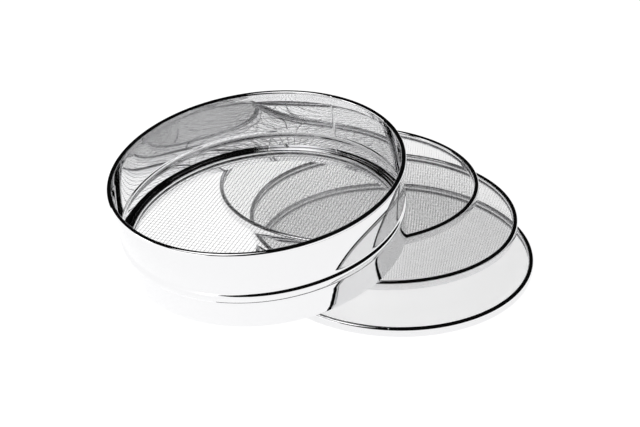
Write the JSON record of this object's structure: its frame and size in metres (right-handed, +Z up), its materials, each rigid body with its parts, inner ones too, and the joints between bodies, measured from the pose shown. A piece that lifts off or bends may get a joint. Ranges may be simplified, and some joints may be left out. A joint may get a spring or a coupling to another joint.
{
  "type": "tamis drum sieve",
  "caption": "Round steel drum sieve with a rolled rim and a swaged bead that holds an interchangeable wire-cloth screen and leans on a fan of spare screens.",
  "frame": {"origin": "on the table, under the middle of the whole set's outline", "axes": "+Z up; +X along the longest side of the set, from the drum to the spare screens; +Y from the bottom spare screen to the top one, away from the viewer"},
  "size_m": [0.4323, 0.41, 0.1265],
  "materials": {
    "drum_steel": "mirror polished stainless sheet",
    "band_steel": "bright rolled strip",
    "coarse_wire": "plain woven wire",
    "medium_wire": "plain woven wire",
    "fine_wire": "plain woven wire",
    "extra_fine_wire": "plain woven wire"
  },
  "bodies": {
    "bottom_screen": {"extra_fine_band": "band_steel", "extra_fine_cloth": "extra_fine_wire"},
    "middle_screen": {"fine_band": "band_steel", "fine_cloth": "fine_wire"},
    "top_screen": {"medium_band": "band_steel", "medium_cloth": "medium_wire"},
    "drum": {"drum_shell": "drum_steel"},
    "fitted_screen": {"coarse_band": "band_steel", "coarse_cloth": "coarse_wire"}
  },
  "joints": [
    {"name": "middle_screen_lift", "type": "slide", "parent": "bottom_screen", "child": "middle_screen", "axis": [0, 0, 1], "range_m": [0, 0.05]},
    {"name": "top_screen_lift", "type": "slide", "parent": "middle_screen", "child": "top_screen", "axis": [0, 0, 1], "range_m": [0, 0.05]},
    {"name": "drum_lift", "type": "slide", "parent": "top_screen", "child": "drum", "axis": [0, 0, 1], "range_m": [0, 0.06]},
    {"name": "fitted_screen_out", "type": "slide", "parent": "drum", "child": "fitted_screen", "axis": [-0.1032, -0.0795, 0.9915], "range_m": [0, 0.1]}
  ]
}
